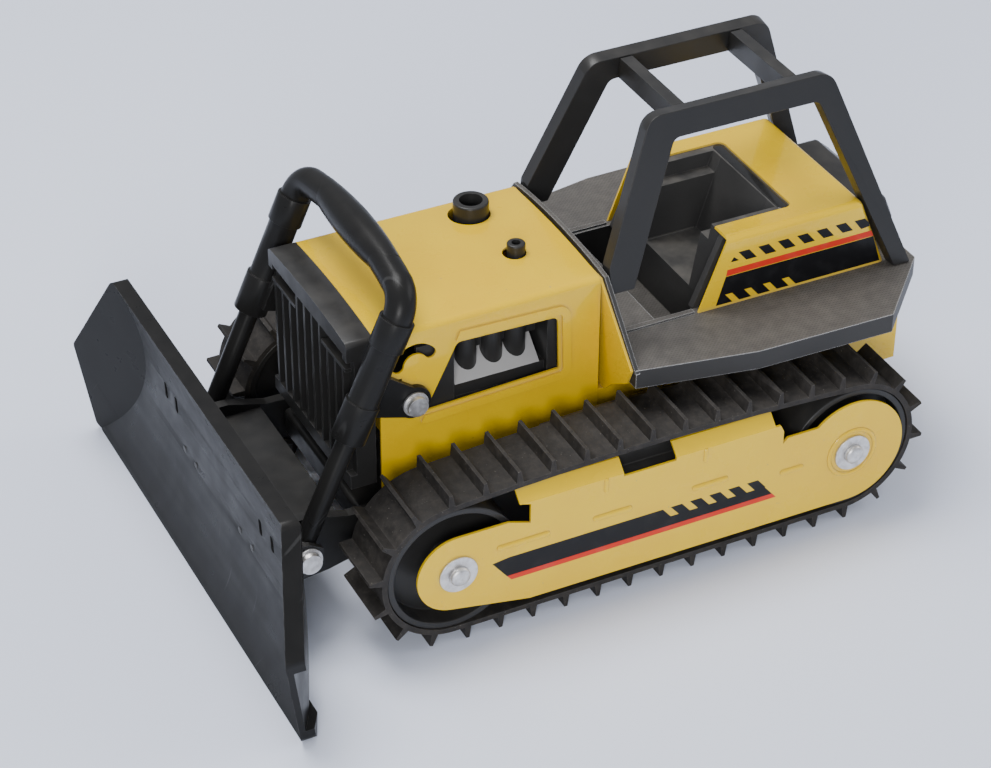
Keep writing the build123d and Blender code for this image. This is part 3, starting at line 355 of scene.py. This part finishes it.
def cover_print():
    """Leading triangle and slanted squares, a red stripe, and a black panel notched along its foot."""
    top, low = 146.2, 140.3
    squares = tooth_row(95.0, 11.65, 6.3, 6, top, low)
    last = [(164.9, 145.7), (171.4, 145.5), (174.5, 141.8), (174.4, 140.0), (169.5, 139.5)]
    stripe = [(89.0, 136.9), (176.0, 136.9), (177.6, 133.3), (88.4, 133.3)]
    foot, notch_top, lean, width = 116.5, 122.0, 4.6, 4.2
    panel = [(88.3, 132.9), (177.6, 132.9), (183.0, foot)]
    for start in (88.4 + 11.35 * i for i in reversed(range(4))):
        panel += [(start + width + lean, foot), (start + width, notch_top), (start, notch_top),
                  (start + lean, foot)]
    panel.append((83.3, foot))
    return [[(90.8, 141.3), (92.4, 143.9), (95.6, 141.2)]] + squares + [last, panel], [stripe]


for side, sign in SIDES.items():
    for place, plane_x, (black, red) in (
            ("track", TRACK_FACE_X, track_print()), ("cover", COVER_FACE_X, cover_print())):
        for tag, shapes, material in (("black", black, print_black), ("red", red, print_red)):
            piece(f"{place}_print_{tag}_{side}", *slab(shapes, sign * plane_x, FILM), material,
                  slot="yellow_paint")


def loft(loops, wrap=False):
    """Faces over equal closed loops: capped at both ends, or wrapped round to the first loop."""
    count = len(loops[0])
    verts = [point for loop in loops for point in loop]
    pairs = list(zip(range(len(loops)), range(1, len(loops)))) + ([(len(loops) - 1, 0)] if wrap else [])
    faces = [
        [a * count + i, a * count + (i + 1) % count, b * count + (i + 1) % count, b * count + i]
        for a, b in pairs for i in range(count)
    ]
    if not wrap:
        faces += [list(range(count)), [(len(loops) - 1) * count + i for i in range(count)]]
    return verts, faces


def joined(parts):
    """Several (verts, faces) as one."""
    verts, faces = [], []
    for more_verts, more_faces in parts:
        faces += [[len(verts) + i for i in face] for face in more_faces]
        verts += more_verts
    return verts, faces


TURNS = 48


def lathe(profile, x, sign, y, z, wrap=False):
    """A turned shape about a line along X: profile holds (distance out from x, radius)."""
    return loft([
        [(sign * (x + out), y + radius * cos(2 * pi * i / TURNS), z + radius * sin(2 * pi * i / TURNS))
         for i in range(TURNS)]
        for out, radius in profile
    ], wrap)


END_STEPS = 10
SINK = 0.2            # mm that a mound goes into its surface
ROUND_PROFILE = ((0.0, 1.0), (0.45, 0.93), (0.78, 0.72), (0.95, 0.42), (1.0, 0.12))


def mound(a, b, normal, half_width, height):
    """A raised round-ended bar from a to b on a surface with that normal, sunk a little into it."""
    a, b, normal = Vector(a), Vector(b), Vector(normal)
    along = (b - a).normalized()
    across = normal.cross(along)
    loops = []
    for rise, part in ((-SINK / height, 1.0),) + ROUND_PROFILE:
        loop = []
        for centre, facing in ((b, 1), (a, -1)):
            for i in range(END_STEPS + 1):
                turn = pi * i / END_STEPS - pi / 2
                loop.append(tuple(
                    centre + facing * part * half_width * (along * cos(turn) + across * sin(turn))
                    + normal * rise * height))
        loops.append(loop)
    return loft(loops)


AXLES = [(sign, y) for sign in SIDES.values() for y in (-94.0, 134.0)]
AXLE_Z = 46.5
WASHER_FACE_X = 111.8
CAP_PROFILE = ((0, 5.4), (1.5, 5.4), (2.3, 5.15), (2.9, 4.5),
               (3.3, 3.4), (3.55, 2.0), (3.45, 1.1), (3.0, 0.5))
caps = piece("hub_caps", *joined(lathe(CAP_PROFILE, WASHER_FACE_X, sign, y, AXLE_Z) for sign, y in AXLES),
             finishes["zinc"], slot="zinc", smooth=True)
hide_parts("hub_nuts")

RING_PROFILE = ((-0.2, 12.3), (0.6, 12.9), (1.0, 13.8), (0.6, 14.7), (-0.2, 15.3))
DASHES = [((-72.6, 54.5), (-43.2, 54.5)), ((-19.0, 54.5), (3.2, 54.5)), ((38.0, 54.5), (59.0, 54.5)),
          ((90.5, 47.0), (104.4, 47.0))]
GUSSETS = [-12.0, 45.0]
GUSSET_TOP, GUSSET_FOOT = 76.6, 70.5
DASH_END = 1.5        # mm from a dash's end to the centre of its round end
for side, sign in SIDES.items():
    pressed = [
        mound((sign * TRACK_FACE_X, y0 + DASH_END, z0), (sign * TRACK_FACE_X, y1 - DASH_END, z1),
              (sign, 0, 0), 1.7, 1.2)
        for (y0, z0), (y1, z1) in DASHES
    ]
    pressed += [
        mound((sign * TRACK_FACE_X, y, GUSSET_TOP), (sign * TRACK_FACE_X, y, GUSSET_FOOT),
              (sign, 0, 0), 1.3, 1.1)
        for y in GUSSETS
    ]
    pressed.append(lathe(RING_PROFILE, TRACK_FACE_X, sign, AXLES[1][1], AXLE_Z, wrap=True))
    piece(f"pressed_marks_{side}", *joined(pressed), finishes["yellow_paint"], slot="yellow_paint",
          smooth=True)

CUSHION_Z, RIB_X = 114.4, 23.8
piece("seat_ribs", *joined(
    mound((sign * RIB_X, 84.0, CUSHION_Z), (sign * RIB_X, 112.0, CUSHION_Z), (0, 0, 1), 1.1, 0.9)
    for sign in SIDES.values()
), dusty_seat, slot="black_plastic", smooth=True)
LEDGE_Y, LEDGE_Z = 130.8, 154.6
piece("seat_ledge_strip", *mound((-33, LEDGE_Y, LEDGE_Z), (33, LEDGE_Y, LEDGE_Z), (0, 0, 1), 3.2, 0.5),
      gloss_strip, slot="black_plastic", smooth=True)


# --- camera, light and floor ---------------------------------------------------------------

AZIMUTH, ELEVATION, ROLL = radians(63.44), radians(35.48), radians(0.32)
DISTANCE = 1.4755
AIM = Vector((0.0, -0.0187, 0.0668))
LENS = 101.8
back = Vector((sin(AZIMUTH) * cos(ELEVATION), -cos(AZIMUTH) * cos(ELEVATION), sin(ELEVATION)))
level_right = Vector((cos(AZIMUTH), sin(AZIMUTH), 0.0))
level_up = back.cross(level_right)
right = level_right * cos(ROLL) + level_up * sin(ROLL)
up = back.cross(right)
lens = bpy.data.cameras.new("camera")
lens.lens = LENS
lens.sensor_width = 36.0
camera = bpy.data.objects.new("camera", lens)
camera.matrix_world = Matrix.Translation(AIM + back * DISTANCE) @ Matrix(
    (right, up, back)).transposed().to_4x4()
bpy.context.scene.collection.objects.link(camera)
bpy.context.scene.camera = camera


def area_light(name, location, target, size, power):
    data = bpy.data.lights.new(name, "AREA")
    data.shape = "RECTANGLE"
    data.size, data.size_y = size
    data.energy = power
    obj = bpy.data.objects.new(name, data)
    obj.location = location
    obj.rotation_euler = (Vector(location) - Vector(target)).to_track_quat("Z", "Y").to_euler()
    bpy.context.scene.collection.objects.link(obj)


CENTRE = (0.0, 0.0, 0.08)
area_light("key", (-0.5, -0.3, 1.9), CENTRE, (1.0, 1.0), 40)
area_light("side", (1.9, -1.1, 1.0), CENTRE, (0.8, 0.7), 34)
area_light("fill", (0.6, 1.8, 1.2), CENTRE, (1.4, 1.0), 12)

world = bpy.data.worlds.new("studio")
world.use_nodes = True
world.node_tree.nodes["Background"].inputs["Color"].default_value = (0.86, 0.90, 1.0, 1)
world.node_tree.nodes["Background"].inputs["Strength"].default_value = 0.5
bpy.context.scene.world = world

floor_shader = Shader("floor_paper")
floor_shader.set(color=(0.76, 0.81, 0.95, 1), rough=0.7)
FLOOR_HALF = 12.0
floor_mesh = bpy.data.meshes.new("floor")
floor_mesh.from_pydata(
    [(-FLOOR_HALF, -FLOOR_HALF, 0), (FLOOR_HALF, -FLOOR_HALF, 0), (FLOOR_HALF, FLOOR_HALF, 0),
     (-FLOOR_HALF, FLOOR_HALF, 0)], [], [(0, 1, 2, 3)])
floor_mesh.materials.append(floor_shader.material)
floor = bpy.data.objects.new("floor", floor_mesh)
bpy.context.scene.collection.objects.link(floor)
